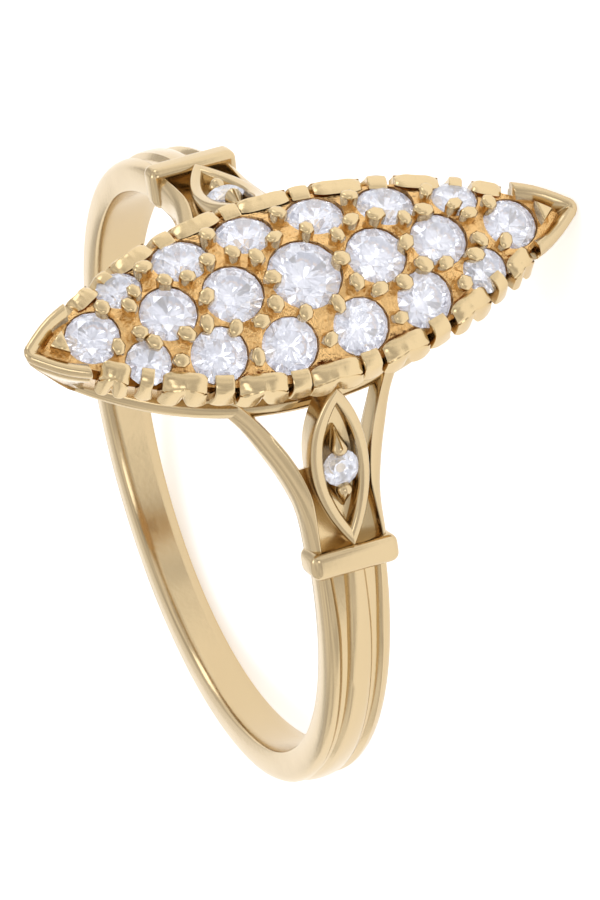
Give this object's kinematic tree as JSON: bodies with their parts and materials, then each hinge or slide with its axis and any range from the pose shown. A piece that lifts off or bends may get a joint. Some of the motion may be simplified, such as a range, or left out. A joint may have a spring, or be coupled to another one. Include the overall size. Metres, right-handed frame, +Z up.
{
  "type": "navette cluster ring",
  "caption": "Finger ring with a long pointed oval head of claw-set round diamonds, split shoulders each set with a small diamond, and a reeded narrow band",
  "frame": {"origin": "middle of the finger hole, halfway along the hole", "axes": "the ring lies as it rests by itself: +Z up, the head's face towards -Y, the shoulders along X, the finger hole's axis tilted from +Z"},
  "size_m": [0.019, 0.0234, 0.0163],
  "materials": {
    "gold": "high polish yellow gold",
    "diamond": "polished facets"
  },
  "bodies": {
    "root": {"gold_mount": "gold", "head_diamond_1": "diamond", "head_diamond_2": "diamond", "head_diamond_3": "diamond", "head_diamond_4": "diamond", "head_diamond_5": "diamond", "head_diamond_6": "diamond", "head_diamond_7": "diamond", "head_diamond_8": "diamond", "head_diamond_9": "diamond", "head_diamond_10": "diamond", "head_diamond_11": "diamond", "head_diamond_12": "diamond", "head_diamond_13": "diamond", "head_diamond_14": "diamond", "head_diamond_15": "diamond", "head_diamond_16": "diamond", "head_diamond_17": "diamond", "head_diamond_18": "diamond", "head_diamond_19": "diamond", "shoulder_diamond_1": "diamond", "shoulder_diamond_2": "diamond"}
  },
  "joints": []
}
